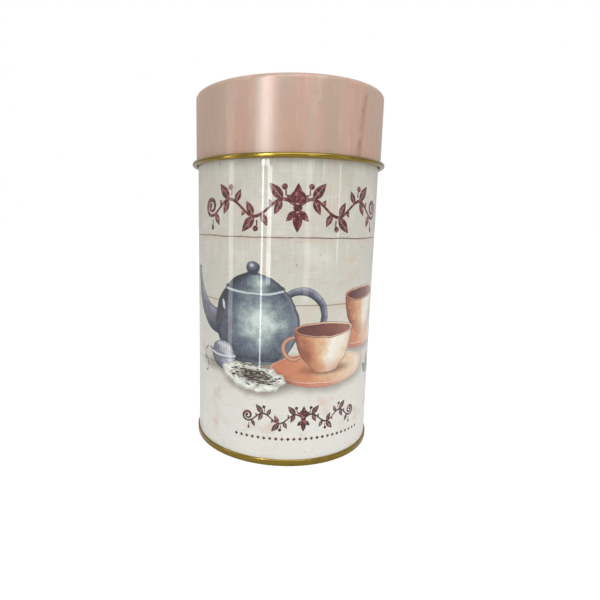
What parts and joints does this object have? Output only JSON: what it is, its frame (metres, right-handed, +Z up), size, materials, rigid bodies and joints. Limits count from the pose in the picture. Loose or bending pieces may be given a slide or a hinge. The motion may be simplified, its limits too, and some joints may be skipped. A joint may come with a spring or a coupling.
{
  "type": "tea caddy",
  "caption": "Round tinplate tea caddy with a printed wall, a deep slip lid with a curled hem, a knobbed plug lid inside and a seamed bottom.",
  "frame": {"origin": "centre of the caddy's foot, on the surface it stands on", "axes": "+Z up along the caddy's axis, the front of the printed wall faces -Y, the side seam is at +Y, +X to the right seen from the front"},
  "size_m": [0.0792, 0.0792, 0.142],
  "materials": {
    "printed_tinplate": "offset printed and clear varnished, glossy",
    "gold_lacquered_tinplate": "transparent gold lacquer over bright tinplate",
    "pink_lacquered_tinplate": "streaked dusty pink enamel, satin",
    "bare_tinplate": "bright tinned steel with fine rolling lines",
    "knob_brass": "turned and polished",
    "rivet_steel": "plain, lightly worn",
    "seam_compound": "matte"
  },
  "bodies": {
    "can": {"body_wall": "printed_tinplate", "mouth_curl": "gold_lacquered_tinplate", "bottom_end": "gold_lacquered_tinplate", "bottom_seam_compound": "seam_compound"},
    "inner_lid": {"plug_lid_dish": "bare_tinplate", "plug_lid_knob": "knob_brass", "knob_washer": "bare_tinplate", "knob_rivet": "rivet_steel"},
    "outer_lid": {"slip_lid_shell": "pink_lacquered_tinplate", "slip_lid_curl": "gold_lacquered_tinplate"}
  },
  "joints": [
    {"name": "inner_lid_lift", "type": "slide", "parent": "can", "child": "inner_lid", "axis": [0, 0, 1], "range_m": [0, 0.05]},
    {"name": "outer_lid_lift", "type": "slide", "parent": "inner_lid", "child": "outer_lid", "axis": [0, 0, 1], "range_m": [0, 0.06]}
  ]
}
